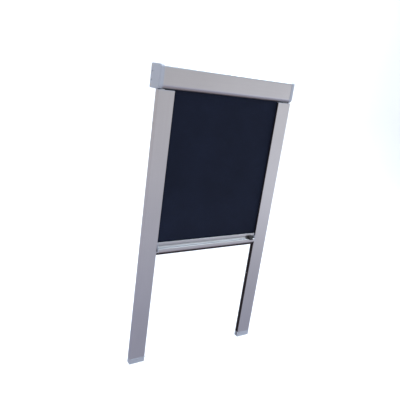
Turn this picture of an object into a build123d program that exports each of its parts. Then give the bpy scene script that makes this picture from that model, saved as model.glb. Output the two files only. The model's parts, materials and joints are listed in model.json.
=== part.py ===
from build123d import *
import os
from math import pi, radians, sqrt, tan

# Cassette roller blind with side channels and a hand-moved bottom bar.
# Millimetres. X runs to the right, Y away from the room, Z up. The origin is the centre
# of the cassette's flat back face, so the room side of the blind faces -Y.

# ---------------------------------------------------------------- driving dimensions
# cassette
HEADBOX_WIDTH = 424.0
HEADBOX_HEIGHT = 58.0
HEADBOX_DEPTH = 48.0
TOP_RADIUS = 8.0
BOTTOM_RADIUS = 13.0
CAP_THICKNESS = 11.0
CAP_ROUND = 3.0  # on the outer edges of the end caps
CAP_STEP = 0.5  # the end caps stand this far proud of the extrusions
SHELL_WALL = 1.5
BACK_WALL = 1.6

# side channels
CHANNEL_SPAN = 420.0  # outer face to outer face
CHANNEL_FACE = 44.0
CHANNEL_DEPTH = 15.0
CHANNEL_BACK = -30.0
CHANNEL_WALL = 1.6
CHANNEL_PLATE = 1.2
CHANNEL_FRONT_PLATE = 1.4
CHANNEL_BOTTOM = -775.0
CHANNEL_CAP_HEIGHT = 16.0
CHANNEL_TOP_PLATE = 1.5
COVER_ROUND = 0.8  # on the long edges of the channels' faces

# fabric and roller
FABRIC_WIDTH = 380.0
FABRIC_LENGTH = 860.0
FABRIC_THICKNESS = 0.4  # as it winds
SHEET_THICKNESS = 0.5  # of the plain hanging solid
FABRIC_Y = -37.5
TUBE_RADIUS = 11.0
TUBE_BORE = 9.5
TUBE_LEFT = -195.0
TUBE_RIGHT = 193.0

# bottom bar, with heights measured up from its underside
BAR_TOP = -418.0
BAR_HEIGHT = 29.5
BAR_BACK = 4.0  # behind the fabric plane
BAR_FRONT = 4.5  # in front of the fabric plane
LIP_FRONT = 12.0  # front of the lower lip, in front of the fabric plane
LIP_LOW = 4.3  # lower and upper side of the lip
LIP_TOP = 15.0
LIP_ROUND = 2.6  # on the lip's front edges
SCOOP_TOP = 22.5  # upper edge of the finger groove
SCOOP_DEEP = (2.2, 15.7)  # a point low on its curve: forward of the fabric plane, and height
SCOOP_CREST = 9.0  # where its curve ends on top of the lip
HEM_HEIGHT = 23.5
BAR_HALF = 162.0
BAR_END_PLATE = 3.0
BAR_EDGE = 1.2  # radius along the body's upper and lower edges
SEAL_DROP = 7.0

# clearances
SLACK = 0.1
JOINT_GAP = 0.2  # between two extrusions that clip together
RUNNING = 0.06  # radial clearance of a turning fit
SEAT = 0.02  # radial clearance of a fixed fit

# ---------------------------------------------------------------- derived places
HALF_HEIGHT = HEADBOX_HEIGHT / 2
CASE_HALF = HEADBOX_WIDTH / 2 - CAP_THICKNESS  # half length of the two extrusions
CASE_TOP = HALF_HEIGHT - CAP_STEP
CAP_OUTER = HEADBOX_WIDTH / 2
CHANNEL_OUTER = CHANNEL_SPAN / 2
CHANNEL_INNER = CHANNEL_OUTER - CHANNEL_FACE
CHANNEL_FRONT = CHANNEL_BACK - CHANNEL_DEPTH
CHANNEL_TOP = -HALF_HEIGHT
PROFILE_TOP = CHANNEL_TOP - CHANNEL_TOP_PLATE
PROFILE_BOTTOM = CHANNEL_BOTTOM + CHANNEL_CAP_HEIGHT
POCKET_BACK = CHANNEL_BACK - CHANNEL_PLATE
POCKET_FRONT = CHANNEL_FRONT + CHANNEL_FRONT_PLATE
BAR_BOTTOM = BAR_TOP - BAR_HEIGHT
HEM_ROD_RADIUS = 2.2
FABRIC_END = BAR_BOTTOM + HEM_HEIGHT + HEM_ROD_RADIUS + SLACK

# The fabric left on the tube sets the roll's radius, and the roll's front sets its axis.
WOUND_LENGTH = FABRIC_LENGTH + FABRIC_END
ROLL_RADIUS = sqrt(TUBE_RADIUS**2 + WOUND_LENGTH * FABRIC_THICKNESS / pi)
ROLL_GAP = 0.2
ROLLER_Y = FABRIC_Y + SHEET_THICKNESS / 2 + ROLL_GAP + ROLL_RADIUS
ROLLER_AXIS = (ROLLER_Y, 0)

# screws and their holes
PORT_PLACES = [(-4.4, 22.0), (-4.4, -22.0)]  # self-tapping ports of the cassette
PORT_RADIUS = 2.9
PORT_BORE = 1.3
SCREW_RADIUS = 1.25
SCREW_HOLE = 1.6
HEAD_RADIUS = 2.9
SINK_RADIUS = 3.0
SINK_HALF_ANGLE = 41.0
END_SCREW_LENGTH = 20.0
BAR_SCREW_LENGTH = 16.0
RECESS_WIDTH = 0.6
RECESS_DEPTH = 1.2
MOUNT_HOLE = 2.1
CAP_MOUNT_PLACES = [(-7.0, 10.0), (-7.0, -10.0)]
CHANNEL_MOUNT_Y = CHANNEL_BACK - 4.2
CHANNEL_MOUNT_HEIGHTS = [-110.0, -670.0]
BAR_PORTS = [(8.0, 8.8), (-0.8, 8.0)]  # forward of the fabric plane, and height
BAR_HEAD_RADIUS = 2.2
BAR_SINK_RADIUS = 2.3

os.makedirs("parts", exist_ok=True)


# ---------------------------------------------------------------- helpers
def block(u0, v0, u1, v1, mode=Mode.ADD):
    """A rectangle between two opposite corners of the current sketch."""
    with Locations(((u0 + u1) / 2, (v0 + v1) / 2)):
        Rectangle(abs(u1 - u0), abs(v1 - v0), mode=mode)


def disc(place, radius, mode=Mode.ADD):
    """A circle at a place of the current sketch."""
    with Locations(place):
        Circle(radius, mode=mode)


def save(part, name):
    """Label one finished piece and write it."""
    part.label = name
    export_step(part, f"parts/{name}.step")


def save_pair(right_part, stem):
    """Write a right-hand piece and its mirror image on the left."""
    save(right_part, f"{stem}_right")
    with BuildPart() as left_piece:
        add(right_part)
        mirror(about=Plane.YZ, mode=Mode.REPLACE)
    save(left_piece.part, f"{stem}_left")


def cassette_outline(inset=0.0):
    """Side outline of the cassette: square at the back, rounded at the front."""
    front = -(HEADBOX_DEPTH - inset)
    top = HALF_HEIGHT - inset
    upper = TOP_RADIUS - inset
    lower = BOTTOM_RADIUS - inset
    with BuildLine() as outline:
        Line((front, lower - top), (front, top - upper))
        CenterArc((front + upper, top - upper), upper, 90, 90)
        Polyline((front + upper, top), (0, top), (0, -top), (front + lower, -top))
        CenterArc((front + lower, lower - top), lower, 180, 90)
    make_face(outline.edges())


def forward(distance):
    """Y of a point this far in front of the fabric plane."""
    return FABRIC_Y - distance


def bar_profile(grooved=True):
    """Outside shape of the bottom bar: a flat body and a lower lip with a finger groove."""
    with BuildSketch() as profile:
        block(forward(-BAR_BACK), BAR_BOTTOM, forward(BAR_FRONT), BAR_TOP)
        block(forward(BAR_FRONT - 1), BAR_BOTTOM + LIP_LOW, forward(LIP_FRONT), BAR_BOTTOM + LIP_TOP)
        fillet(profile.vertices().group_by(Axis.Y)[-1], radius=BAR_EDGE)
        fillet(profile.vertices().group_by(Axis.Y)[0], radius=BAR_EDGE)
        fillet(profile.vertices().group_by(Axis.X)[0], radius=LIP_ROUND)
        if grooved:
            edge = (forward(BAR_FRONT), BAR_BOTTOM + SCOOP_TOP)
            deep = (forward(SCOOP_DEEP[0]), BAR_BOTTOM + SCOOP_DEEP[1])
            crest = (forward(SCOOP_CREST), BAR_BOTTOM + LIP_TOP)
            with BuildLine() as groove:
                ThreePointArc(edge, deep, crest)
                Line(crest, edge)
            make_face(groove.edges(), mode=Mode.SUBTRACT)
    return profile.sketch


def bar_ports():
    """Places of the bottom bar's screw ports in its side view."""
    return [(forward(ahead), BAR_BOTTOM + height) for ahead, height in BAR_PORTS]


def countersunk_screws(places, head_radius, length):
    """Countersunk screws with a cross recess, one at each plane, heads at the plane."""
    head_height = (head_radius - SCREW_RADIUS) / tan(radians(SINK_HALF_ANGLE))
    recess = head_radius * 1.1
    down = (Align.CENTER, Align.CENTER, Align.MAX)
    with Locations(*places):
        Cylinder(SCREW_RADIUS, length, align=down)
        Cone(SCREW_RADIUS, head_radius, head_height, align=down)
        Box(recess, RECESS_WIDTH, RECESS_DEPTH, align=down, mode=Mode.SUBTRACT)
        Box(RECESS_WIDTH, recess, RECESS_DEPTH, align=down, mode=Mode.SUBTRACT)


def coil(start, end, radius, wire, pitch):
    """Wire wound along X on the roller's axis, between two X positions."""
    inset = wire / 2
    with BuildLine() as path:
        Helix(
            pitch,
            end - start - 2 * inset,
            radius,
            center=(start + inset, ROLLER_Y, 0),
            direction=(1, 0, 0),
        )
    with BuildSketch(Plane(origin=path.line @ 0, z_dir=path.line % 0)) as section:
        Circle(wire / 2)
    sweep(section.sketch, path=path.line, is_frenet=True)


# ---------------------------------------------------------------- cassette shells
LIP_START = -12.0  # where the cover meets the back extrusion on top
LIP_DROP = 3.3  # how far the hooked joint there reaches down
HOOK_FRONT = LIP_START - 6.0
CATCH_FRONT = HOOK_FRONT - 1.4
SLOT_FRONT = -40.5  # front and rear edges of the slot that the fabric leaves by
SLOT_REAR = -34.5
SLOT_LIP = 6.0
FRONT_BRUSH = (-25.5, -22.0)  # heights of the two slot brushes
REAR_BRUSH = (-27.0, -23.5)
BRUSH_SEAT = 0.4  # how far the front brush's seat runs past it

with BuildPart() as headbox_back:
    with BuildSketch(Plane.YZ.offset(-CASE_HALF)):
        block(-BACK_WALL, -CASE_TOP, 0, CASE_TOP)
        block(LIP_START, CASE_TOP - SHELL_WALL, 0, CASE_TOP)
        block(LIP_START, CASE_TOP - LIP_DROP, LIP_START + SHELL_WALL, CASE_TOP)
        block(HOOK_FRONT, CASE_TOP - LIP_DROP, LIP_START, CASE_TOP - SHELL_WALL - JOINT_GAP)
        block(SLOT_REAR, -CASE_TOP, 0, -CASE_TOP + SHELL_WALL)
        block(SLOT_REAR, -CASE_TOP, SLOT_REAR + SHELL_WALL, -CASE_TOP + SLOT_LIP)
        for port in PORT_PLACES:
            disc(port, PORT_RADIUS)
            block(port[0], port[1] - 1, 0, port[1] + 1)
        for port in PORT_PLACES:
            disc(port, PORT_BORE, mode=Mode.SUBTRACT)
    extrude(amount=2 * CASE_HALF)
save(headbox_back.part, "headbox_back")

with BuildPart() as headbox_cover:
    with BuildSketch(Plane.YZ.offset(-CASE_HALF)):
        cassette_outline(CAP_STEP)
        offset(amount=-SHELL_WALL, mode=Mode.SUBTRACT)
        block(LIP_START - JOINT_GAP, 0, 1, HALF_HEIGHT, mode=Mode.SUBTRACT)
        block(SLOT_FRONT, -HALF_HEIGHT, 1, 0, mode=Mode.SUBTRACT)
        block(CATCH_FRONT, CASE_TOP - LIP_DROP, CATCH_FRONT + 1, CASE_TOP - 1)
        block(
            SLOT_FRONT - SHELL_WALL,
            FRONT_BRUSH[0] - BRUSH_SEAT,
            SLOT_FRONT,
            FRONT_BRUSH[1] + BRUSH_SEAT,
        )
    extrude(amount=2 * CASE_HALF)
save(headbox_cover.part, "headbox_cover")


# ---------------------------------------------------------------- end caps
BOSS_RADIUS = 8.0
BOSS_LENGTH = 2.0
BOSS_FACE = CASE_HALF - BOSS_LENGTH
SOCKET_DEPTH = 9.0
ARBOR_RADIUS = 3.0
BUSH_RADIUS = 5.0
RIM_WALL = 2.0
RIM_LENGTH = 3.0
RIM_TOP_GAP = 0.6  # between the rim and the cover's catch
RIM_SLOT_GAP = 2.0  # between the rim and the slot
LINK_PEG = (FABRIC_Y, -15.0)
LINK_PEG_RADIUS = 1.5
LINK_PEG_DEPTH = 3.0


def end_cap(side, socket_radius):
    """Moulded cassette end: plate, rim behind the cover, boss, screw and mount holes."""
    with BuildPart() as cap:
        with BuildSketch(Plane.YZ.offset(CASE_HALF)):
            cassette_outline()
        extrude(amount=CAP_THICKNESS)
        outer_edges = cap.faces().sort_by(Axis.X)[-1].edges()
        fillet(outer_edges.sort_by(Axis.Y)[:-1], radius=CAP_ROUND)
        with BuildSketch(Plane.YZ.offset(CASE_HALF)):
            cassette_outline(CAP_STEP + SHELL_WALL + JOINT_GAP)
            offset(amount=-RIM_WALL, mode=Mode.SUBTRACT)
            block(CATCH_FRONT - RIM_TOP_GAP, 0, 1, HALF_HEIGHT, mode=Mode.SUBTRACT)
            block(SLOT_FRONT - RIM_SLOT_GAP, -HALF_HEIGHT, 1, 0, mode=Mode.SUBTRACT)
        extrude(amount=-RIM_LENGTH)
        with BuildSketch(Plane.YZ.offset(BOSS_FACE)):
            disc(ROLLER_AXIS, BOSS_RADIUS)
        extrude(amount=BOSS_LENGTH)
        with BuildSketch(Plane.YZ.offset(BOSS_FACE)):
            disc(ROLLER_AXIS, socket_radius)
        extrude(amount=SOCKET_DEPTH, mode=Mode.SUBTRACT)
        with BuildSketch(Plane.YZ.offset(CASE_HALF)):
            disc(LINK_PEG, LINK_PEG_RADIUS)
        extrude(amount=LINK_PEG_DEPTH, mode=Mode.SUBTRACT)
        with BuildSketch(Plane.YZ.offset(CASE_HALF)):
            for place in CAP_MOUNT_PLACES:
                disc(place, MOUNT_HOLE)
        extrude(amount=CAP_THICKNESS, mode=Mode.SUBTRACT)
        with Locations(*[Plane(origin=(CAP_OUTER, y, z), z_dir=(1, 0, 0)) for y, z in PORT_PLACES]):
            CounterSinkHole(SCREW_HOLE, SINK_RADIUS, CAP_THICKNESS, 2 * SINK_HALF_ANGLE)
        if side < 0:
            mirror(about=Plane.YZ, mode=Mode.REPLACE)
    return cap.part


save(end_cap(-1, BUSH_RADIUS + SEAT), "end_cap_left")
save(end_cap(1, ARBOR_RADIUS + SEAT), "end_cap_right")

with BuildPart() as end_cap_screws:
    heads = [
        Plane(origin=(side * CAP_OUTER, y, z), z_dir=(side, 0, 0))
        for side in (-1, 1)
        for y, z in PORT_PLACES
    ]
    countersunk_screws(heads, HEAD_RADIUS, END_SCREW_LENGTH)
save(end_cap_screws.part, "end_cap_screws")


# ---------------------------------------------------------------- slot brushes
BRUSH_HALF = 192.0
BRUSH_REACH = 2.2

with BuildPart() as exit_brush_front:
    with BuildSketch(Plane.YZ.offset(-BRUSH_HALF)):
        block(SLOT_FRONT, FRONT_BRUSH[0], SLOT_FRONT + BRUSH_REACH, FRONT_BRUSH[1])
    extrude(amount=2 * BRUSH_HALF)
save(exit_brush_front.part, "exit_brush_front")

with BuildPart() as exit_brush_rear:
    with BuildSketch(Plane.YZ.offset(-BRUSH_HALF)):
        block(SLOT_REAR - BRUSH_REACH, REAR_BRUSH[0], SLOT_REAR, REAR_BRUSH[1])
    extrude(amount=2 * BRUSH_HALF)
save(exit_brush_rear.part, "exit_brush_rear")


# ---------------------------------------------------------------- side channels
PROFILE_LENGTH = PROFILE_TOP - PROFILE_BOTTOM
WEB_X = 193.6  # the web that closes the fabric pocket
WEB_WALL = 1.4
WEB_REACH = 9.0
WEB_HOOK = 2.2
CLIP_X = 196.0  # the cover's legs
OUTER_CLIP_X = 206.6
CLIP_WALL = 1.2
CLIP_REACH = 5.5
OUTER_CLIP_REACH = 4.0
CLIP_HOOK = 0.8
PILE_START = CHANNEL_INNER + 0.3
PILE_WIDTH = 4.0
PILE_BACKING = 1.0
PILE_INSET = 0.4
PILE_RIB_X = PILE_START + PILE_WIDTH + SLACK
RIB = 1.0  # width and height of the small ribs and hooks inside a channel
PILE_TIP = 1.2  # distance from the fabric plane to the pile's tips

with BuildPart() as channel_base:
    with BuildSketch(Plane.XY.offset(PROFILE_BOTTOM)):
        block(CHANNEL_INNER, CHANNEL_BACK, CHANNEL_OUTER, POCKET_BACK)
        block(
            CHANNEL_OUTER - CHANNEL_WALL,
            CHANNEL_BACK,
            CHANNEL_OUTER,
            POCKET_FRONT + SLACK,
        )
        block(WEB_X, POCKET_BACK, WEB_X + WEB_WALL, POCKET_BACK - WEB_REACH)
        block(WEB_X, POCKET_BACK - WEB_REACH + RIB, WEB_X + WEB_HOOK, POCKET_BACK - WEB_REACH)
        block(PILE_RIB_X, POCKET_BACK, PILE_RIB_X + RIB, POCKET_BACK - RIB)
    extrude(amount=PROFILE_LENGTH)
    mount_planes = [
        Plane(origin=(CHANNEL_OUTER, CHANNEL_MOUNT_Y, z), z_dir=(1, 0, 0))
        for z in CHANNEL_MOUNT_HEIGHTS
    ]
    with Locations(*mount_planes):
        Hole(MOUNT_HOLE, CHANNEL_WALL)
save_pair(channel_base.part, "channel_base")

with BuildPart() as channel_cover:
    with BuildSketch(Plane.XY.offset(PROFILE_BOTTOM)):
        block(CHANNEL_INNER, CHANNEL_FRONT, CHANNEL_OUTER, POCKET_FRONT)
        block(CLIP_X, POCKET_FRONT, CLIP_X + CLIP_WALL, POCKET_FRONT + CLIP_REACH)
        block(
            CLIP_X - CLIP_HOOK,
            POCKET_FRONT + CLIP_REACH - RIB,
            CLIP_X + CLIP_WALL,
            POCKET_FRONT + CLIP_REACH,
        )
        block(
            OUTER_CLIP_X,
            POCKET_FRONT,
            OUTER_CLIP_X + CLIP_WALL,
            POCKET_FRONT + OUTER_CLIP_REACH,
        )
        block(PILE_RIB_X, POCKET_FRONT, PILE_RIB_X + RIB, POCKET_FRONT + RIB)
    extrude(amount=PROFILE_LENGTH)
    long_edges = channel_cover.edges().filter_by(Axis.Z).group_by(Axis.Y)[0]
    fillet(long_edges, radius=COVER_ROUND)
save_pair(channel_cover.part, "channel_cover")


def pile_strip(root, tip, name):
    """Pile weatherstrip: a flat backing with a narrower pile standing on it."""
    backing = root + (PILE_BACKING if tip > root else -PILE_BACKING)
    with BuildPart() as strip:
        with BuildSketch(Plane.XY.offset(PROFILE_BOTTOM)):
            block(PILE_START, root, PILE_START + PILE_WIDTH, backing)
            block(
                PILE_START + PILE_INSET,
                backing,
                PILE_START + PILE_WIDTH - PILE_INSET,
                tip,
            )
        extrude(amount=PROFILE_LENGTH)
    save_pair(strip.part, name)


pile_strip(POCKET_FRONT, forward(PILE_TIP), "pile_front")
pile_strip(POCKET_BACK, forward(-PILE_TIP), "pile_rear")


# ---------------------------------------------------------------- channel fittings
COLLAR_HEIGHT = 3.5
COLLAR_STEP = 0.8
COLLAR_BEVEL = 0.6
CAP_FLOOR = 1.5
CAP_INNER_WALL = 1.4
CAP_SLOT = 3.0  # half width of the slot that lets the bar's tongue run into the cap
TONGUE_LEFT = 199.0
TONGUE_RIGHT = 204.0
TONGUE_FRONT = POCKET_FRONT + 1.6
TONGUE_BACK = POCKET_BACK - 1.8
TONGUE_TOP = PROFILE_BOTTOM + 20.0

with BuildPart() as channel_cap:
    with BuildSketch(Plane.XY.offset(CHANNEL_BOTTOM)):
        block(CHANNEL_INNER, CHANNEL_FRONT, CHANNEL_OUTER, CHANNEL_BACK)
    extrude(amount=CHANNEL_CAP_HEIGHT)
    with BuildSketch(Plane.XY.offset(PROFILE_BOTTOM)):
        block(CHANNEL_INNER - COLLAR_STEP, CHANNEL_FRONT - COLLAR_STEP, CHANNEL_OUTER, CHANNEL_BACK)
    extrude(amount=-COLLAR_HEIGHT)
    collar_front = channel_cap.faces().sort_by(Axis.Y)[0]
    chamfer(collar_front.edges().filter_by(Axis.X), length=COLLAR_BEVEL)
    with BuildSketch(Plane.XY.offset(CHANNEL_BOTTOM + CAP_FLOOR)):
        block(CHANNEL_INNER + CAP_INNER_WALL, POCKET_FRONT, CHANNEL_OUTER - CHANNEL_WALL, POCKET_BACK)
        block(CHANNEL_INNER - 1, forward(CAP_SLOT), CHANNEL_INNER + 2, forward(-CAP_SLOT))
    extrude(amount=CHANNEL_CAP_HEIGHT, mode=Mode.SUBTRACT)
    with BuildSketch(Plane.XY.offset(CHANNEL_BOTTOM)):
        block(TONGUE_LEFT, TONGUE_FRONT, TONGUE_RIGHT, TONGUE_BACK)
    extrude(amount=TONGUE_TOP - CHANNEL_BOTTOM)
save_pair(channel_cap.part, "channel_cap")

TOP_SLOT_END = 192.0
TOP_SLOT_HALF = 1.2
LINK_INNER = 198.0
LINK_OUTER = 205.0
LINK_TOP = -8.0
LINK_BOTTOM = -52.0
LINK_HALF = 1.9
LINK_BEVEL = 0.8

with BuildPart() as channel_top:
    with BuildSketch(Plane.XY.offset(PROFILE_TOP)):
        block(CHANNEL_INNER, CHANNEL_FRONT, CHANNEL_OUTER, CHANNEL_BACK)
        block(
            CHANNEL_INNER - 1,
            forward(TOP_SLOT_HALF),
            TOP_SLOT_END,
            forward(-TOP_SLOT_HALF),
            mode=Mode.SUBTRACT,
        )
        block(
            LINK_INNER - SLACK,
            forward(LINK_HALF + SLACK),
            LINK_OUTER + SLACK,
            forward(-LINK_HALF - SLACK),
            mode=Mode.SUBTRACT,
        )
    extrude(amount=CHANNEL_TOP_PLATE)
    front_edges = channel_top.edges().filter_by(Axis.Z).group_by(Axis.Y)[0]
    fillet(front_edges, radius=COVER_ROUND)
save_pair(channel_top.part, "channel_top")

with BuildPart() as channel_link:
    with BuildSketch(Plane.XY.offset(LINK_BOTTOM)):
        block(LINK_INNER, forward(LINK_HALF), LINK_OUTER, forward(-LINK_HALF))
    extrude(amount=CHANNEL_TOP - SLACK - LINK_BOTTOM)
    chamfer(channel_link.edges().group_by(Axis.Z)[0], length=LINK_BEVEL)
    with BuildSketch(Plane.XY.offset(CHANNEL_TOP - SLACK)):
        block(LINK_INNER, forward(LINK_HALF), CASE_HALF, forward(-LINK_HALF))
    extrude(amount=LINK_TOP - CHANNEL_TOP + SLACK)
    with BuildSketch(Plane.YZ.offset(CASE_HALF)):
        disc(LINK_PEG, LINK_PEG_RADIUS - SEAT)
    extrude(amount=LINK_PEG_DEPTH - SLACK)
save_pair(channel_link.part, "channel_link")


# ---------------------------------------------------------------- roller
SPLINE_WIDTH = 3.0
SPLINE_DEPTH = 0.8
PLUG_RADIUS = TUBE_BORE - SEAT
FLANGE_RADIUS = 12.4
FLANGE = 1.2
PIN_RADIUS = 2.5
PIN_OUTER = -206.5
PIN_INNER = -187.0
PIN_BEVEL = 0.5
BUSH_FLANGE = 1.5
BUSH_FLANGE_WIDTH = 0.8
BUSH_BORE = 8.8  # depth of its bore, from the flange
SPRING_GAP = 0.5
IDLE_PLUG_INNER = -178.0
IDLE_BORE_END = -180.0
ARBOR_END = 60.0
ARBOR_FLANGE = (174.0, 177.0)
SPRING_PLUG_INNER = 181.0
ANCHOR = (62.0, 74.0)
FABRIC_HALF = FABRIC_WIDTH / 2

with BuildPart() as roller_tube:
    with BuildSketch(Plane.YZ.offset(TUBE_LEFT)):
        disc(ROLLER_AXIS, TUBE_RADIUS)
        disc(ROLLER_AXIS, TUBE_BORE, mode=Mode.SUBTRACT)
        block(
            ROLLER_Y - SPLINE_WIDTH / 2 - SLACK,
            TUBE_RADIUS - SPLINE_DEPTH - SLACK,
            ROLLER_Y + SPLINE_WIDTH / 2 + SLACK,
            TUBE_RADIUS + 1,
            mode=Mode.SUBTRACT,
        )
    extrude(amount=TUBE_RIGHT - TUBE_LEFT)
save(roller_tube.part, "roller_tube")

with BuildPart() as fabric_spline:
    with BuildSketch(Plane.YZ.offset(-FABRIC_HALF)):
        block(
            ROLLER_Y - SPLINE_WIDTH / 2,
            TUBE_RADIUS - SPLINE_DEPTH - SLACK,
            ROLLER_Y + SPLINE_WIDTH / 2,
            TUBE_RADIUS - 2 * SLACK,
        )
    extrude(amount=FABRIC_WIDTH)
save(fabric_spline.part, "fabric_spline")

with BuildPart() as fabric_roll:
    with BuildSketch(Plane.YZ.offset(-FABRIC_HALF)):
        disc(ROLLER_AXIS, ROLL_RADIUS)
        disc(ROLLER_AXIS, TUBE_RADIUS + SEAT, mode=Mode.SUBTRACT)
    extrude(amount=FABRIC_WIDTH)
save(fabric_roll.part, "fabric_roll")

with BuildPart() as idle_plug:
    with BuildSketch(Plane.YZ.offset(TUBE_LEFT)):
        disc(ROLLER_AXIS, PLUG_RADIUS)
    extrude(amount=IDLE_PLUG_INNER - TUBE_LEFT)
    with BuildSketch(Plane.YZ.offset(TUBE_LEFT)):
        disc(ROLLER_AXIS, FLANGE_RADIUS)
    extrude(amount=-FLANGE)
    with BuildSketch(Plane.YZ.offset(TUBE_LEFT - FLANGE)):
        disc(ROLLER_AXIS, PIN_RADIUS + SEAT)
    extrude(amount=IDLE_BORE_END - TUBE_LEFT + FLANGE, mode=Mode.SUBTRACT)
save(idle_plug.part, "idle_plug")

with BuildPart() as idle_pin:
    with BuildSketch(Plane.YZ.offset(PIN_OUTER)):
        disc(ROLLER_AXIS, PIN_RADIUS)
    extrude(amount=PIN_INNER - PIN_OUTER)
    chamfer(idle_pin.edges().group_by(Axis.X)[0], length=PIN_BEVEL)
save(idle_pin.part, "idle_pin")

with BuildPart() as idle_pin_spring:
    coil(PIN_INNER, IDLE_BORE_END, radius=1.9, wire=0.5, pitch=1.3)
save(idle_pin_spring.part, "idle_pin_spring")

with BuildPart() as idle_bush:
    with BuildSketch(Plane.YZ.offset(-BOSS_FACE)):
        disc(ROLLER_AXIS, BUSH_RADIUS)
    extrude(amount=-SOCKET_DEPTH)
    with BuildSketch(Plane.YZ.offset(-BOSS_FACE)):
        disc(ROLLER_AXIS, BUSH_RADIUS + BUSH_FLANGE)
    extrude(amount=BUSH_FLANGE_WIDTH)
    with BuildSketch(Plane.YZ.offset(BUSH_FLANGE_WIDTH - BOSS_FACE)):
        disc(ROLLER_AXIS, PIN_RADIUS + RUNNING)
    extrude(amount=-BUSH_BORE, mode=Mode.SUBTRACT)
save(idle_bush.part, "idle_bush")

with BuildPart() as spring_plug:
    with BuildSketch(Plane.YZ.offset(SPRING_PLUG_INNER)):
        disc(ROLLER_AXIS, PLUG_RADIUS)
    extrude(amount=TUBE_RIGHT - SPRING_PLUG_INNER)
    with BuildSketch(Plane.YZ.offset(TUBE_RIGHT)):
        disc(ROLLER_AXIS, FLANGE_RADIUS)
    extrude(amount=FLANGE)
    with BuildSketch(Plane.YZ.offset(SPRING_PLUG_INNER)):
        disc(ROLLER_AXIS, ARBOR_RADIUS + RUNNING)
    extrude(amount=TUBE_RIGHT + FLANGE - SPRING_PLUG_INNER, mode=Mode.SUBTRACT)
save(spring_plug.part, "spring_plug")

with BuildPart() as spring_arbor:
    with BuildSketch(Plane.YZ.offset(ARBOR_END)):
        disc(ROLLER_AXIS, ARBOR_RADIUS)
    extrude(amount=BOSS_FACE + SOCKET_DEPTH - SLACK - ARBOR_END)
    with BuildSketch(Plane.YZ.offset(ARBOR_FLANGE[0])):
        disc(ROLLER_AXIS, BOSS_RADIUS)
    extrude(amount=ARBOR_FLANGE[1] - ARBOR_FLANGE[0])
save(spring_arbor.part, "spring_arbor")

with BuildPart() as spring_anchor:
    with BuildSketch(Plane.YZ.offset(ANCHOR[0])):
        disc(ROLLER_AXIS, PLUG_RADIUS)
        disc(ROLLER_AXIS, ARBOR_RADIUS + RUNNING, mode=Mode.SUBTRACT)
    extrude(amount=ANCHOR[1] - ANCHOR[0])
save(spring_anchor.part, "spring_anchor")

with BuildPart() as torsion_spring:
    coil(ANCHOR[1], ARBOR_FLANGE[0] - SPRING_GAP, radius=5.6, wire=1.2, pitch=3.6)
save(torsion_spring.part, "torsion_spring")


# ---------------------------------------------------------------- hanging fabric
HEM_HALF = BAR_HALF - 1

with BuildPart() as fabric:
    with BuildSketch(Plane.XZ.offset(-FABRIC_Y)):
        block(-FABRIC_HALF, BAR_TOP, FABRIC_HALF, 0)
        block(-HEM_HALF, FABRIC_END, HEM_HALF, BAR_TOP)
    extrude(amount=SHEET_THICKNESS / 2, both=True)
save(fabric.part, "fabric")

with BuildPart() as hem_rod:
    with BuildSketch(Plane.YZ.offset(-HEM_HALF)):
        disc((FABRIC_Y, BAR_BOTTOM + HEM_HEIGHT), HEM_ROD_RADIUS)
    extrude(amount=2 * HEM_HALF)
save(hem_rod.part, "hem_rod")


# ---------------------------------------------------------------- bottom bar
HEM_POCKET = 2.6
HEM_SLOT_HALF = 0.7
SEAL_NECK = 1.0
SEAL_HEAD = 2.2
SEAL_HEAD_LOW = 1.2
SEAL_HEAD_HIGH = 3.2
BLADE_HALF = 2.0
BLADE_ROUND = 1.4
CHAMBER_AHEAD = (-2.6, -0.2)  # the bar's hollow chamber, in front of the fabric plane
CHAMBER_HEIGHTS = (11.5, 19.5)

with BuildPart() as bottom_bar:
    with BuildSketch(Plane.YZ.offset(-BAR_HALF)):
        add(bar_profile())
        disc((FABRIC_Y, BAR_BOTTOM + HEM_HEIGHT), HEM_POCKET, mode=Mode.SUBTRACT)
        block(
            forward(HEM_SLOT_HALF),
            BAR_BOTTOM + HEM_HEIGHT,
            forward(-HEM_SLOT_HALF),
            BAR_TOP + 1,
            mode=Mode.SUBTRACT,
        )
        block(
            forward(SEAL_NECK),
            BAR_BOTTOM - 1,
            forward(-SEAL_NECK),
            BAR_BOTTOM + SEAL_HEAD_LOW,
            mode=Mode.SUBTRACT,
        )
        block(
            forward(SEAL_HEAD),
            BAR_BOTTOM + SEAL_HEAD_LOW,
            forward(-SEAL_HEAD),
            BAR_BOTTOM + SEAL_HEAD_HIGH,
            mode=Mode.SUBTRACT,
        )
        block(
            forward(CHAMBER_AHEAD[0]),
            BAR_BOTTOM + CHAMBER_HEIGHTS[0],
            forward(CHAMBER_AHEAD[1]),
            BAR_BOTTOM + CHAMBER_HEIGHTS[1],
            mode=Mode.SUBTRACT,
        )
        for port in bar_ports():
            disc(port, PORT_BORE, mode=Mode.SUBTRACT)
    extrude(amount=2 * BAR_HALF)
save(bottom_bar.part, "bottom_bar")

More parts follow.
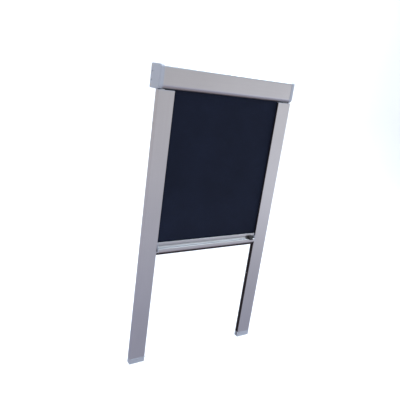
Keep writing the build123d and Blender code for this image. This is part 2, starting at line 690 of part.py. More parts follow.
with BuildPart() as bar_seal:
    with BuildSketch(Plane.YZ.offset(-BAR_HALF)):
        block(
            forward(SEAL_HEAD - SLACK),
            BAR_BOTTOM + SEAL_HEAD_LOW + SLACK,
            forward(SLACK - SEAL_HEAD),
            BAR_BOTTOM + SEAL_HEAD_HIGH - SLACK,
        )
        block(
            forward(SEAL_NECK - SLACK),
            BAR_BOTTOM - 1,
            forward(SLACK - SEAL_NECK),
            BAR_BOTTOM + SEAL_HEAD_LOW + SLACK,
        )
    extrude(amount=2 * BAR_HALF)
    with BuildSketch(Plane.YZ.offset(-BAR_HALF - BAR_END_PLATE)) as blade:
        block(forward(BLADE_HALF), BAR_BOTTOM - SEAL_DROP, forward(-BLADE_HALF), BAR_BOTTOM)
        fillet(blade.vertices().group_by(Axis.Y)[0], radius=BLADE_ROUND)
    extrude(amount=2 * (BAR_HALF + BAR_END_PLATE))
save(bar_seal.part, "bar_seal")

# A black stop fills the right end of the finger groove and hooks over the lip.
STOP_LEFT = 142.0
STOP_RIGHT = 155.0
STOP_FRONT = 13.0  # in front of the fabric plane
STOP_LOW = 11.4  # lower edge of its hook, above the bar's underside
STOP_ROUND = 0.8

with BuildPart() as grip_stop:
    with BuildSketch(Plane.YZ.offset(STOP_LEFT)):
        block(forward(0), BAR_BOTTOM + STOP_LOW, forward(STOP_FRONT), BAR_BOTTOM + SCOOP_TOP - SLACK)
        with BuildSketch(mode=Mode.PRIVATE) as bar_room:
            add(bar_profile())
            offset(amount=SLACK)
        add(bar_room.sketch, mode=Mode.SUBTRACT)
    extrude(amount=STOP_RIGHT - STOP_LEFT)
    fillet(grip_stop.faces().sort_by(Axis.Y)[0].edges(), radius=STOP_ROUND)
save(grip_stop.part, "grip_stop")


# ---------------------------------------------------------------- bar ends and guides
NECK_HALF = 0.9
NECK_LOW = 12.2
NECK_HIGH = 28.0
TONGUE_END = 188.0
SHOE_INNER = 173.0
SHOE_OUTER = 190.0
SHOE_ROUND = 1.0
SHOE_FRONT = POCKET_FRONT + 1.0
SHOE_BACK = POCKET_BACK - 1.2
END_FRONT = 8.0  # front of the end plates beside the groove, in front of the fabric plane
END_BEVEL = 0.4
PAD_THICKNESS = 0.8
PAD_INSET = 2.0
LEAF = 0.3
LEAF_WIDTH = 9.0
LEAF_RISE = 0.6
LEAF_HALF_LENGTH = 7.0
LEAF_START = 177.0

with BuildPart() as bar_end:
    with BuildSketch(Plane.YZ.offset(BAR_HALF)):
        add(bar_profile(grooved=False))
        block(forward(0), BAR_BOTTOM + LIP_TOP - 1, forward(END_FRONT), BAR_BOTTOM + SCOOP_TOP)
    extrude(amount=BAR_END_PLATE)
    chamfer(bar_end.faces().sort_by(Axis.X)[-1].edges(), length=END_BEVEL)
    with BuildSketch(Plane.YZ.offset(BAR_HALF + BAR_END_PLATE)):
        block(
            forward(NECK_HALF),
            BAR_BOTTOM + NECK_LOW,
            forward(-NECK_HALF),
            BAR_BOTTOM + NECK_HIGH,
        )
    extrude(amount=TONGUE_END - BAR_HALF - BAR_END_PLATE)
    screw_planes = [
        Plane(origin=(BAR_HALF + BAR_END_PLATE, y, z), z_dir=(1, 0, 0)) for y, z in bar_ports()
    ]
    with Locations(*screw_planes):
        CounterSinkHole(SCREW_HOLE, BAR_SINK_RADIUS, BAR_END_PLATE, 2 * SINK_HALF_ANGLE)
save_pair(bar_end.part, "bar_end")

with BuildPart() as bar_end_screws:
    ends = [
        Plane(origin=(side * (BAR_HALF + BAR_END_PLATE), y, z), z_dir=(side, 0, 0))
        for side in (-1, 1)
        for y, z in bar_ports()
    ]
    countersunk_screws(ends, BAR_HEAD_RADIUS, BAR_SCREW_LENGTH)
save(bar_end_screws.part, "bar_end_screws")

with BuildPart() as guide_shoe:
    with BuildSketch(Plane.XY.offset(BAR_BOTTOM + NECK_LOW)):
        block(SHOE_INNER, SHOE_FRONT, SHOE_OUTER, SHOE_BACK)
        block(
            SHOE_INNER - 1,
            forward(NECK_HALF + SEAT),
            TONGUE_END + SEAT,
            forward(-NECK_HALF - SEAT),
            mode=Mode.SUBTRACT,
        )
    extrude(amount=NECK_HIGH - NECK_LOW)
    fillet(guide_shoe.edges().filter_by(Axis.Z).group_by(Axis.X)[-1], radius=SHOE_ROUND)
save_pair(guide_shoe.part, "guide_shoe")

with BuildPart() as brake_pad:
    with BuildSketch(Plane.XY.offset(BAR_BOTTOM + NECK_LOW + 1)):
        block(
            SHOE_INNER + PAD_INSET,
            SHOE_FRONT,
            SHOE_OUTER - PAD_INSET,
            SHOE_FRONT - PAD_THICKNESS,
        )
    extrude(amount=NECK_HIGH - NECK_LOW - 2)
save_pair(brake_pad.part, "brake_pad")

with BuildPart() as brake_spring:
    with BuildSketch(Plane.YZ.offset(LEAF_START)):
        middle = BAR_BOTTOM + (NECK_LOW + NECK_HIGH) / 2
        low = middle - LEAF_HALF_LENGTH
        high = middle + LEAF_HALF_LENGTH
        with BuildLine():
            ThreePointArc((SHOE_BACK, low), (SHOE_BACK + LEAF_RISE, middle), (SHOE_BACK, high))
            Line((SHOE_BACK, high), (SHOE_BACK + LEAF, high))
            ThreePointArc(
                (SHOE_BACK + LEAF, high),
                (SHOE_BACK + LEAF + LEAF_RISE, middle),
                (SHOE_BACK + LEAF, low),
            )
            Line((SHOE_BACK + LEAF, low), (SHOE_BACK, low))
        make_face()
    extrude(amount=LEAF_WIDTH)
save_pair(brake_spring.part, "brake_spring")
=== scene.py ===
"""Roller blind: looks, light and camera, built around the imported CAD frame."""

import json
import math
import random

import bmesh
import bpy
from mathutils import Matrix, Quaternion, Vector


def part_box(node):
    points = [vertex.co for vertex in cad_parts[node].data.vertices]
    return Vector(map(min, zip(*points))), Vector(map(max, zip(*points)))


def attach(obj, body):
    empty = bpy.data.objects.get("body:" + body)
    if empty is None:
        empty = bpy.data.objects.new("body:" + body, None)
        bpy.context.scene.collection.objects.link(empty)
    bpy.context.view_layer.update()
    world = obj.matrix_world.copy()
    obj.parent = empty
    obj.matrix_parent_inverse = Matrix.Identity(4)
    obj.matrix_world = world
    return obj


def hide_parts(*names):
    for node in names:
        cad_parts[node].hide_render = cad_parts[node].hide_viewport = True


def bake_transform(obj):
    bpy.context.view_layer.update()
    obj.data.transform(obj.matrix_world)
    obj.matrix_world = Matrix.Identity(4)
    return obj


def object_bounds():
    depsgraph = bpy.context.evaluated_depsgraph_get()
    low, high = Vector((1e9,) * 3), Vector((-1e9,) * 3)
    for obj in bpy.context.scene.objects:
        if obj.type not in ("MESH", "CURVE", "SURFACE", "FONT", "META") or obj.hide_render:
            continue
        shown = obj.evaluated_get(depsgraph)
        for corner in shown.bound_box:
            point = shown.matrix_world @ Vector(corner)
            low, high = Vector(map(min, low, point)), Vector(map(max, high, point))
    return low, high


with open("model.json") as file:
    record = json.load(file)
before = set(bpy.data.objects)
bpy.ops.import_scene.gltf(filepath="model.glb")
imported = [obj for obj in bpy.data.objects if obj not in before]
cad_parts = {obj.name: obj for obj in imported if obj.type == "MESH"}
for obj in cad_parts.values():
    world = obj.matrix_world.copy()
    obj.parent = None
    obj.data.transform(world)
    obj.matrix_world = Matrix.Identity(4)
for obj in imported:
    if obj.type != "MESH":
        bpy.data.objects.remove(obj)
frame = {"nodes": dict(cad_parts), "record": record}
cad_low, cad_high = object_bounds()
nodes = frame["nodes"]
record = frame["record"]

MM = 0.001


# ---------------------------------------------------------------- objects
def add_object(name, data):
    made = bpy.data.objects.new(name, data)
    bpy.context.scene.collection.objects.link(made)
    return made


def add_piece(name, shape, material, smooth=True):
    """An object made from a bmesh, which is freed."""
    mesh = bpy.data.meshes.new(name)
    shape.to_mesh(mesh)
    shape.free()
    if smooth:
        mesh.shade_smooth()
    mesh.materials.append(material)
    return add_object(name, mesh)


# ---------------------------------------------------------------- camera
# The eye's place from the lower, outer, front corner of the left side channel.
EYE_FROM_CORNER = Vector((-0.4971, -0.9482, 0.7933))
LOOK_AZIMUTH = math.radians(34.65)
LOOK_DOWN = math.radians(15.63)
CAMERA_ROLL = math.radians(7.96)
LENS = 40.29
SENSOR = 36.0
CLIP = (0.02, 30.0)


def add_camera():
    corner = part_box("channel_cover_left")[0]
    corner.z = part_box("channel_cap_left")[0].z
    data = bpy.data.cameras.new("camera")
    data.lens = LENS
    data.sensor_width = SENSOR
    data.clip_start, data.clip_end = CLIP
    camera = add_object("camera", data)
    flat = math.cos(LOOK_DOWN)
    ahead = Vector(
        (math.sin(LOOK_AZIMUTH) * flat, math.cos(LOOK_AZIMUTH) * flat, -math.sin(LOOK_DOWN))
    )
    roll = Quaternion((0, 0, 1), CAMERA_ROLL)
    camera.location = corner + EYE_FROM_CORNER
    camera.rotation_mode = "QUATERNION"
    camera.rotation_quaternion = ahead.to_track_quat("-Z", "Y") @ roll
    bpy.context.scene.camera = camera


# ---------------------------------------------------------------- stage and light
FLOOR_DROP = 0.10
BACK_WALL = 1.3
WALL_HEIGHT = 4.0
SWEEP_RADIUS = 0.7
SWEEP_STEPS = 16
FLOOR_FRONT = -4.0
FLOOR_SIDES = (-4.0, 5.0)


def add_stage(material):
    """A pale floor that curves up into a backdrop."""
    level = cad_low.z - FLOOR_DROP
    sweep_start = BACK_WALL - SWEEP_RADIUS
    profile = [(FLOOR_FRONT, level), (sweep_start, level)]
    for step in range(1, SWEEP_STEPS + 1):
        angle = math.radians(90 * step / SWEEP_STEPS)
        y = sweep_start + SWEEP_RADIUS * math.sin(angle)
        z = level + SWEEP_RADIUS * (1 - math.cos(angle))
        profile.append((y, z))
    profile.append((BACK_WALL, level + WALL_HEIGHT))
    shape = bmesh.new()
    rows = [[shape.verts.new((x, y, z)) for x in FLOOR_SIDES] for y, z in profile]
    for (a, b), (c, d) in zip(rows, rows[1:]):
        shape.faces.new((a, b, d, c))
    floor = add_piece("studio_floor", shape, material)
    floor.visible_glossy = False


def add_light(name, target, place, size, power, colour):
    data = bpy.data.lights.new(name, "AREA")
    data.shape = "RECTANGLE"
    data.size = size[0]
    data.size_y = size[1]
    data.energy = power
    data.color = colour
    lamp = add_object(name, data)
    lamp.location = place
    lamp.rotation_mode = "QUATERNION"
    aim = Vector(target) - Vector(place)
    lamp.rotation_quaternion = aim.to_track_quat("-Z", "Y")


# Each light's place, size, power in watts and colour. These are aimed at the blind's middle.
BLIND_LIGHTS = {
    "key": ((-1.6, -2.2, 1.5), (1.8, 1.4), 2, (1.0, 0.985, 0.97)),
    "top": ((1.25, -0.05, 1.5), (1.5, 0.8), 19, (0.68, 0.85, 1.0)),
    "side": ((2.6, -2.1, -0.7), (1.6, 1.6), 4.5, (0.84, 0.90, 1.0)),
}
BACKDROP_LIGHT = ((0.6, 0.35, 1.6), (2.6, 0.8), 30, (1.0, 1.0, 1.0))
BACKDROP_TARGET = (0.9, 1.2, -0.6)

# Room colours by height, from straight down (0) to straight up (1).
ROOM_LIGHT = 1.3
ROOM_COLOURS = (
    (0.00, (0.36, 0.27, 0.26)),
    (0.07, (0.38, 0.31, 0.32)),
    (0.21, (0.35, 0.37, 0.50)),
    (0.36, (0.60, 0.59, 0.67)),
    (0.50, (0.62, 0.59, 0.60)),
    (0.75, (0.62, 0.67, 0.75)),
    (1.00, (0.74, 0.86, 1.00)),
)


def fill_ramp(node, stops):
    """Set a colour ramp from (position, colour) stops."""
    elements = node.color_ramp.elements
    while len(elements) < len(stops):
        elements.new(0.5)
    for element, (position, colour) in zip(elements, stops):
        element.position = position
        element.color = (*colour, 1)


def add_room():
    """Soft surroundings: cool and bright above, dim and warm below, and white to the eye."""
    world = bpy.data.worlds.new("studio")
    world.use_nodes = True
    tree = world.node_tree
    direction = tree.nodes.new("ShaderNodeTexCoord")
    parts = tree.nodes.new("ShaderNodeSeparateXYZ")
    height = tree.nodes.new("ShaderNodeMapRange")
    height.inputs["From Min"].default_value = -1.0
    height.inputs["From Max"].default_value = 1.0
    colours = tree.nodes.new("ShaderNodeValToRGB")
    fill_ramp(colours, ROOM_COLOURS)
    room = tree.nodes["Background"]
    room.inputs["Strength"].default_value = ROOM_LIGHT
    plain = tree.nodes.new("ShaderNodeBackground")
    plain.inputs["Color"].default_value = (1, 1, 1, 1)
    seen = tree.nodes.new("ShaderNodeLightPath")
    either = tree.nodes.new("ShaderNodeMixShader")
    tree.links.new(direction.outputs["Generated"], parts.inputs["Vector"])
    tree.links.new(parts.outputs["Z"], height.inputs["Value"])
    tree.links.new(height.outputs["Result"], colours.inputs["Fac"])
    tree.links.new(colours.outputs["Color"], room.inputs["Color"])
    tree.links.new(seen.outputs["Is Camera Ray"], either.inputs["Fac"])
    tree.links.new(room.outputs["Background"], either.inputs[1])
    tree.links.new(plain.outputs["Background"], either.inputs[2])
    tree.links.new(either.outputs["Shader"], tree.nodes["World Output"].inputs["Surface"])
    bpy.context.scene.world = world


def add_lights():
    middle = (cad_low + cad_high) / 2
    for name, light in BLIND_LIGHTS.items():
        add_light(name, middle, *light)
    add_light("backdrop", BACKDROP_TARGET, *BACKDROP_LIGHT)
    add_room()
    bpy.context.scene.view_settings.view_transform = "Standard"


# ---------------------------------------------------------------- material kit
WAVE_PERIOD = math.tau / 20  # of the wave texture at scale 1, in metres


class Kit:
    """A material with one Principled shader and short calls for its nodes."""

    def __init__(self, name, **sockets):
        self.material = bpy.data.materials.new(name)
        self.material.use_nodes = True
        self.tree = self.material.node_tree
        self.shader = self.tree.nodes["Principled BSDF"]
        for socket, value in sockets.items():
            self.set(socket.replace("_", " "), value)

    def set(self, socket, value):
        self.shader.inputs[socket].default_value = value

    def node(self, kind, **values):
        made = self.tree.nodes.new(kind)
        for key, value in values.items():
            setattr(made, key, value)
        return made

    def link(self, source, target):
        self.tree.links.new(source, target)

    def place(self, scale=(1, 1, 1)):
        """Object coordinates in metres, stretched by scale."""
        coordinates = self.node("ShaderNodeTexCoord")
        mapping = self.node("ShaderNodeMapping")
        mapping.inputs["Scale"].default_value = scale
        self.link(coordinates.outputs["Object"], mapping.inputs["Vector"])
        return mapping.outputs["Vector"]

    def noise(self, scale, stretch=(1, 1, 1), detail=2.0):
        """Noise with about this many features to a metre."""
        made = self.node("ShaderNodeTexNoise")
        made.inputs["Scale"].default_value = scale
        made.inputs["Detail"].default_value = detail
        self.link(self.place(stretch), made.inputs["Vector"])
        return made.outputs["Fac"]

    def bands(self, direction, pitch):
        """Threads: a soft wave of this pitch in metres along X, Y or Z."""
        made = self.node("ShaderNodeTexWave", wave_type="BANDS", bands_direction=direction)
        made.inputs["Scale"].default_value = WAVE_PERIOD / pitch
        made.inputs["Distortion"].default_value = 0.6
        made.inputs["Detail"].default_value = 1.0
        made.inputs["Detail Scale"].default_value = 0.4
        self.link(self.place(), made.inputs["Vector"])
        return made.outputs["Fac"]

    def math(self, operation, a, b):
        made = self.node("ShaderNodeMath", operation=operation)
        for slot, value in zip(made.inputs, (a, b)):
            if isinstance(value, (int, float)):
                slot.default_value = value
            else:
                self.link(value, slot)
        return made.outputs[0]

    def mix(self, a, b, share):
        """Two values blended, with this share of the second."""
        return self.math("ADD", self.math("MULTIPLY", a, 1 - share), self.math("MULTIPLY", b, share))

    def between(self, fac, low, high):
        """The middle part of a noise's values, spread from low to high."""
        made = self.node("ShaderNodeMapRange")
        made.inputs["From Min"].default_value = 0.3
        made.inputs["From Max"].default_value = 0.7
        made.inputs["To Min"].default_value = low
        made.inputs["To Max"].default_value = high
        self.link(fac, made.inputs["Value"])
        return made.outputs["Result"]

    def paint(self, fac, *stops):
        """Base colour from a colour ramp of (position, colour) stops."""
        made = self.node("ShaderNodeValToRGB")
        fill_ramp(made, stops)
        self.link(fac, made.inputs["Fac"])
        self.link(made.outputs["Color"], self.shader.inputs["Base Color"])

    def rough(self, fac, low, high):
        self.link(self.between(fac, low, high), self.shader.inputs["Roughness"])

    def bump(self, height, strength, distance):
        made = self.node("ShaderNodeBump")
        made.inputs["Strength"].default_value = strength
        made.inputs["Distance"].default_value = distance
        self.link(height, made.inputs["Height"])
        self.link(made.outputs["Normal"], self.shader.inputs["Normal"])


def shade(colour, factor):
    return tuple(min(1.0, c * factor) for c in colour)


# ---------------------------------------------------------------- materials
SILVER = (0.50, 0.50, 0.505)
MOULDED = (0.40, 0.42, 0.47)
NAVY = (0.0080, 0.0107, 0.0225)
WARP_PITCH = 0.52 * MM
WEFT_PITCH = 0.46 * MM


def anodised(name, along):
    """Satin silver anodising: drawing lines run along the extrusion."""
    stretch = {"x": (0.012, 1, 1), "z": (1, 1, 0.012)}[along]
    kit = Kit(name, Metallic=1.0, Anisotropic=0.35)
    lines = kit.noise(1600, stretch, detail=3)
    coarse = kit.noise(420, stretch, detail=2)
    cloud = kit.noise(7, detail=3)
    grain = kit.noise(5200, detail=1)
    tone = kit.mix(cloud, coarse, 0.4)
    kit.paint(tone, (0.35, shade(SILVER, 0.965)), (0.65, shade(SILVER, 1.035)))
    kit.rough(kit.mix(lines, coarse, 0.4), 0.31, 0.39)
    height = kit.math("ADD", lines, kit.math("MULTIPLY", grain, 0.7))
    kit.bump(height, 0.12, 0.04 * MM)
    return kit.material


def moulded_silver():
    """Silver-pigmented plastic with a fine spark-eroded skin."""
    kit = Kit("moulded_silver", Metallic=0.35, Coat_Weight=0.08, Coat_Roughness=0.3)
    skin = kit.noise(2600, detail=3)
    cloud = kit.noise(18, detail=2)
    kit.paint(cloud, (0.3, shade(MOULDED, 0.94)), (0.7, shade(MOULDED, 1.05)))
    kit.rough(skin, 0.40, 0.52)
    kit.bump(skin, 0.25, 0.06 * MM)
    return kit.material


def blackout_fabric():
    """Close navy weave, coated on the back, with faint slubs and cloudiness."""
    kit = Kit("blackout_fabric", Sheen_Weight=0.03, Sheen_Roughness=0.55, Specular_IOR_Level=0.08)
    kit.set("Sheen Tint", (0.55, 0.62, 0.85, 1))
    warp = kit.bands("X", WARP_PITCH)
    weft = kit.bands("Z", WEFT_PITCH)
    slub = kit.noise(900, (1, 1, 0.06), detail=2)
    cross_slub = kit.noise(900, (0.06, 1, 1), detail=2)
    cloud = kit.noise(9, detail=4)
    threads = kit.math("MAXIMUM", warp, weft)
    slubs = kit.mix(slub, cross_slub, 0.5)
    tone = kit.mix(slubs, cloud, 0.45)
    kit.paint(tone, (0.36, shade(NAVY, 0.80)), (0.50, NAVY), (0.64, shade(NAVY, 1.25)))
    kit.rough(tone, 0.78, 0.9)
    kit.bump(kit.math("ADD", threads, kit.math("MULTIPLY", slubs, 0.8)), 0.35, 0.08 * MM)
    return kit.material


def pile_black():
    """Dense black pile with a little brown and violet in it."""
    kit = Kit("pile_black", Sheen_Weight=0.25, Sheen_Roughness=0.5, Specular_IOR_Level=0.15)
    kit.set("Sheen Tint", (0.5, 0.4, 0.42, 1))
    fibre = kit.noise(1900, detail=3)
    kit.paint(fibre, (0.35, (0.006, 0.005, 0.006)), (0.65, (0.022, 0.015, 0.017)))
    kit.rough(fibre, 0.85, 0.98)
    kit.bump(fibre, 0.6, 0.1 * MM)
    return kit.material


def seal_rubber():
    """Soft black sealing strip, dull with a slight bloom."""
    kit = Kit("seal_rubber", Specular_IOR_Level=0.35)
    bloom = kit.noise(60, (0.3, 1, 1), detail=4)
    skin = kit.noise(1400, detail=2)
    kit.paint(bloom, (0.3, (0.020, 0.012, 0.016)), (0.7, (0.036, 0.023, 0.028)))
    kit.rough(bloom, 0.52, 0.68)
    kit.bump(skin, 0.3, 0.05 * MM)
    return kit.material


def moulded_black():
    """Black moulded plastic with a fine grain."""
    kit = Kit("moulded_black", Specular_IOR_Level=0.4)
    skin = kit.noise(2100, detail=3)
    cloud = kit.noise(25, detail=2)
    kit.paint(cloud, (0.3, (0.013, 0.012, 0.014)), (0.7, (0.022, 0.020, 0.022)))
    kit.rough(skin, 0.42, 0.58)
    kit.bump(skin, 0.3, 0.05 * MM)
    return kit.material


def nylon_white():
    """Natural nylon, milky and slightly waxy."""
    kit = Kit("nylon_white", Subsurface_Weight=0.15, Subsurface_Scale=2 * MM)
    cloud = kit.noise(140, detail=3)
    kit.paint(cloud, (0.3, (0.72, 0.71, 0.66)), (0.7, (0.80, 0.79, 0.75)))
    kit.rough(cloud, 0.34, 0.46)
    kit.bump(kit.noise(1800, detail=2), 0.15, 0.04 * MM)
    return kit.material


def metal(name, dark, light, roughness, grain_scale, stretch=(1, 1, 1)):
    """Bare or plated metal: cloudy tone, fine grain."""
    kit = Kit(name, Metallic=1.0)
    grain = kit.noise(grain_scale, stretch, detail=3)
    cloud = kit.noise(90, detail=4)
    kit.paint(cloud, (0.3, dark), (0.7, light))
    kit.rough(grain, roughness - 0.07, roughness + 0.07)
    kit.bump(grain, 0.12, 0.04 * MM)
    return kit.material


def studio_white():
    """The floor and backdrop."""
    kit = Kit("studio_white", Specular_IOR_Level=0.1)
    kit.paint(kit.noise(1.5, detail=1), (0.2, (0.86, 0.865, 0.87)), (0.8, (0.9, 0.9, 0.9)))
    kit.set("Roughness", 0.9)
    return kit.material


ALONG_Z = ("channel_base", "channel_cover")
anodised_x = anodised("anodised_along_x", "x")
anodised_z = anodised("anodised_along_z", "z")
slot_materials = {
    "moulded_silver": moulded_silver(),
    "blackout_fabric": blackout_fabric(),
    "pile_black": pile_black(),
    "seal_rubber": seal_rubber(),
    "moulded_black": moulded_black(),
    "nylon_white": nylon_white(),
    "mill_aluminium": metal(
        "mill_aluminium", (0.60, 0.60, 0.61), (0.72, 0.72, 0.73), 0.34, 1500, (0.02, 1, 1)
    ),
    "bright_steel": metal("bright_steel", (0.50, 0.50, 0.50), (0.66, 0.65, 0.62), 0.30, 2200),
    "spring_steel": metal("spring_steel", (0.14, 0.14, 0.15), (0.24, 0.23, 0.23), 0.38, 2600),
}


def material_for(node, slot):
    if slot == "anodised_aluminium":
        return anodised_z if node.startswith(ALONG_Z) else anodised_x
    return slot_materials[slot]


def dress_cad_nodes():
    for entry in record["subparts"]:
        mesh = nodes[entry["node"]].data
        mesh.materials.clear()
        mesh.materials.append(material_for(entry["node"], entry["material_slot"]))


# ---------------------------------------------------------------- fabric
SHEET_THICKNESS = 0.45 * MM
SHEET_WAVE = 0.09 * MM
ACROSS_WAVES = ((1.0, 11.0, 1.3), (0.6, 23.0, 0.4))  # height, rate and start of each sine
DOWN_WAVES = ((1.0, 9.0, 0.7), (0.5, 31.0, 0.0))
ACROSS_SHARE = 0.7
SHEET_ROWS = 110  # from the roll to the bar
SLOT_ROWS = 3  # inside the bar's top slot
MIDDLE_COLUMNS = 40
EDGE_COLUMNS = 4  # at each side, wider than the hem, so left out inside the slot
WRAP_PITCH = 0.40 * MM
WRAP_THICKNESS = 0.85 * WRAP_PITCH
WRAP_STEPS = 48  # in a turn
WRAP_COLUMNS = 8
TUBE_RADIUS = 11.0 * MM


def grid(name, xs, points, inside, material):
    """A sheet from X positions and rows; inside says which cells exist.

    A row is a (y, z) pair, or a function that gives one for an X position.
    """
    shape = bmesh.new()
    verts = {}
    for i, x in enumerate(xs):
        for j, row in enumerate(points):
            y, z = row(x) if callable(row) else row
            verts[i, j] = shape.verts.new((x, y, z))
    for i in range(len(xs) - 1):
        for j in range(len(points) - 1):
            if inside(i, j):
                corners = [verts[i, j], verts[i + 1, j], verts[i + 1, j + 1], verts[i, j + 1]]
                shape.faces.new(corners)
    bmesh.ops.delete(shape, geom=[v for v in shape.verts if not v.link_faces], context="VERTS")
    return add_piece(name, shape, material)


def spread(low, high, count):
    return [low + (high - low) * i / count for i in range(count + 1)]


def wave(sines, place):
    return sum(height * math.sin(rate * place + start) for height, rate, start in sines)


def thicken(piece, thickness):
    solid = piece.modifiers.new("thickness", "SOLIDIFY")
    solid.thickness = thickness
    solid.offset = 0.0


def hanging_sheet():
    """The fabric from the roll down into the bar's top slot, with a barely wavy face."""
    low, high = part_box("fabric")
    bar_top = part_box("bottom_bar")[1].z
    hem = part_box("hem_rod")[1].x
    plane = (low.y + high.y) / 2
    outer = high.x
    xs = spread(-outer, -hem, EDGE_COLUMNS)
    xs += spread(-hem, hem, MIDDLE_COLUMNS)[1:] + spread(hem, outer, EDGE_COLUMNS)[1:]
    zs = spread(high.z, bar_top, SHEET_ROWS) + spread(bar_top, low.z, SLOT_ROWS)[1:]
    drop = high.z - bar_top

    def row(z):
        def at(x):
            depth = (high.z - z) / drop
            # Flat at the roll and at the bar, with the full wave half way.
            swell = max(0.0, min(depth, 1 - depth)) ** 0.5 * 1.4
            both = wave(ACROSS_WAVES, x / outer) * ACROSS_SHARE + wave(DOWN_WAVES, depth)
            return plane + SHEET_WAVE * swell * both, z

        return at

    rows = [row(z) for z in zs]

    def inside(i, j):
        return j < SHEET_ROWS or EDGE_COLUMNS <= i < EDGE_COLUMNS + MIDDLE_COLUMNS

    sheet = grid("fabric_sheet", xs, rows, inside, slot_materials["blackout_fabric"])
    thicken(sheet, SHEET_THICKNESS)
    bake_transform(sheet)
    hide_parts("fabric")


def wound_fabric():
    """Fabric wound on the tube as a spiral whose outer end is at the front.

    Its 352 mm are 86 mm less than the CAD roll is sized for.
    """
    low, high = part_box("fabric_roll")
    centre_y = (low.y + high.y) / 2
    centre_z = (low.z + high.z) / 2
    outer = (high.y - low.y) / 2 - SHEET_THICKNESS / 2
    inner = TUBE_RADIUS + SHEET_THICKNESS / 2
    turns = (outer - inner) / WRAP_PITCH
    steps = round(turns * WRAP_STEPS)
    points = []
    for step in range(steps + 1):
        share = step / steps
        angle = math.pi - share * turns * math.tau
        radius = outer - share * (outer - inner)
        y = centre_y + radius * math.cos(angle)
        z = centre_z + radius * math.sin(angle)
        points.append((y, z))
    xs = spread(low.x, high.x, WRAP_COLUMNS)
    roll = grid("fabric_wound", xs, points, lambda i, j: True, slot_materials["blackout_fabric"])
    thicken(roll, WRAP_THICKNESS)
    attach(roll, "roller")
    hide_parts("fabric_roll")


# ---------------------------------------------------------------- pile and felt
TUFT_STEP = 1.15 * MM
TUFT_ROWS = 3
TUFT_ROOT = 0.46  # half widths of a tuft's two ends, as shares of its row's width
TUFT_TIP = 0.30
TUFT_START = 0.2  # where a row starts, in tuft steps
ROW_SHIFT = 0.25  # every second row's shift, in tuft steps
LEAN_ALONG = 0.3  # a tip's largest lean, in tuft steps
LEAN_ACROSS = 0.2
SHORTEST_TUFT = 0.90
PILE_BACKING = 0.2  # the backing strip's share of a pile piece's depth
BRUSH_BACKING = 0.3
FELT_BEVEL = 0.18 * MM
FELT_NAP = 0.02


def add_box(shape, low, high):
    corners = [
        shape.verts.new((x, y, z))
        for x in (low.x, high.x)
        for y in (low.y, high.y)
        for z in (low.z, high.z)
    ]
    for face in ((0, 1, 3, 2), (4, 6, 7, 5), (0, 4, 5, 1), (2, 3, 7, 6), (0, 2, 6, 4), (1, 5, 7, 3)):
        shape.faces.new([corners[i] for i in face])


def add_tuft(shape, root, tip, half_root, half_tip, along, across):
    """A tapering bundle of fibres from root to tip."""
    ends = []
    for centre, half in ((root, half_root), (tip, half_tip)):
        ends.append(
            [
                shape.verts.new(centre + along * (half * a) + across * (half * b))
                for a, b in ((-1, -1), (1, -1), (1, 1), (-1, 1))
            ]
        )
    first, last = ends
    for i in range(4):
        j = (i + 1) % 4
        shape.faces.new((first[i], first[j], last[j], last[i]))
    shape.faces.new(last)
    shape.faces.new(first[::-1])


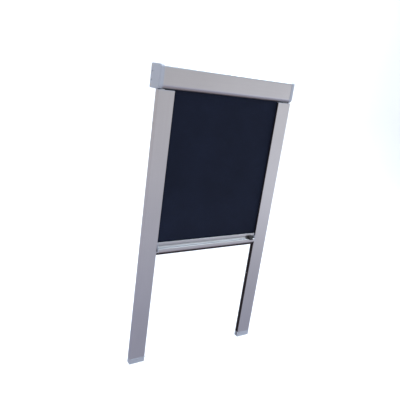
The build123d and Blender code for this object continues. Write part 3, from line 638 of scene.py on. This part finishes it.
def pile_piece(node, root_side, along, backing, seed):
    """Pile weatherstrip in a CAD node's box: root_side is +1 if it grows from high Y."""
    low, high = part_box(node)
    draw = random.Random(seed)
    shape = bmesh.new()
    root_y, tip_y = (high.y, low.y) if root_side > 0 else (low.y, high.y)
    backing_y = root_y + (tip_y - root_y) * backing
    add_box(
        shape,
        Vector((low.x, min(root_y, backing_y), low.z)),
        Vector((high.x, max(root_y, backing_y), high.z)),
    )
    run = Vector((0, 0, 1)) if along == "z" else Vector((1, 0, 0))
    side = Vector((1, 0, 0)) if along == "z" else Vector((0, 0, 1))
    start, end = (low.z, high.z) if along == "z" else (low.x, high.x)
    side_low, side_high = (low.x, high.x) if along == "z" else (low.z, high.z)
    count = int((end - start) / TUFT_STEP)
    width = (side_high - side_low) / TUFT_ROWS
    for row in range(TUFT_ROWS):
        for i in range(count):
            offset = (i + 0.5 + ROW_SHIFT * (row % 2)) * (end - start - TUFT_STEP) / count
            base = run * (start + offset + TUFT_START * TUFT_STEP)
            base = base + side * (side_low + width * (row + 0.5))
            lean = run * draw.uniform(-LEAN_ALONG, LEAN_ALONG)
            lean = lean + side * draw.uniform(-LEAN_ACROSS, LEAN_ACROSS)
            reach = (tip_y - backing_y) * draw.uniform(SHORTEST_TUFT, 1.0)
            root = base + Vector((0, backing_y, 0))
            tip = base + lean * TUFT_STEP + Vector((0, backing_y + reach, 0))
            add_tuft(shape, root, tip, TUFT_ROOT * width, TUFT_TIP * width, run, side)
    bmesh.ops.recalc_face_normals(shape, faces=shape.faces)
    piece = add_piece(f"{node}_fibres", shape, slot_materials["pile_black"], smooth=False)
    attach(piece, "cassette")
    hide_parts(node)


def felt_pad(node, seed):
    """A felt brake pad: a rounded block with a slightly uneven nap."""
    low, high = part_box(node)
    draw = random.Random(seed)
    shape = bmesh.new()
    add_box(shape, low, high)
    bmesh.ops.bevel(
        shape,
        geom=list(shape.edges),
        offset=FELT_BEVEL,
        segments=2,
        affect="EDGES",
        clamp_overlap=True,
    )
    bmesh.ops.subdivide_edges(shape, edges=list(shape.edges), cuts=3, use_grid_fill=True)
    middle = (low + high) / 2
    for vert in shape.verts:
        vert.co = middle + (vert.co - middle) * (1 - draw.uniform(0.0, FELT_NAP))
    bmesh.ops.recalc_face_normals(shape, faces=shape.faces)
    piece = add_piece(f"{node}_felt", shape, slot_materials["pile_black"])
    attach(piece, "bar")
    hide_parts(node)


# ---------------------------------------------------------------- the scene
add_camera()
add_stage(studio_white())
add_lights()
dress_cad_nodes()
hanging_sheet()
wound_fabric()
for number, hand in enumerate(("left", "right")):
    pile_piece(f"pile_front_{hand}", -1, "z", PILE_BACKING, seed=10 + number)
    pile_piece(f"pile_rear_{hand}", 1, "z", PILE_BACKING, seed=20 + number)
    felt_pad(f"brake_pad_{hand}", seed=30 + number)
pile_piece("exit_brush_front", -1, "x", BRUSH_BACKING, seed=40)
pile_piece("exit_brush_rear", 1, "x", BRUSH_BACKING, seed=41)
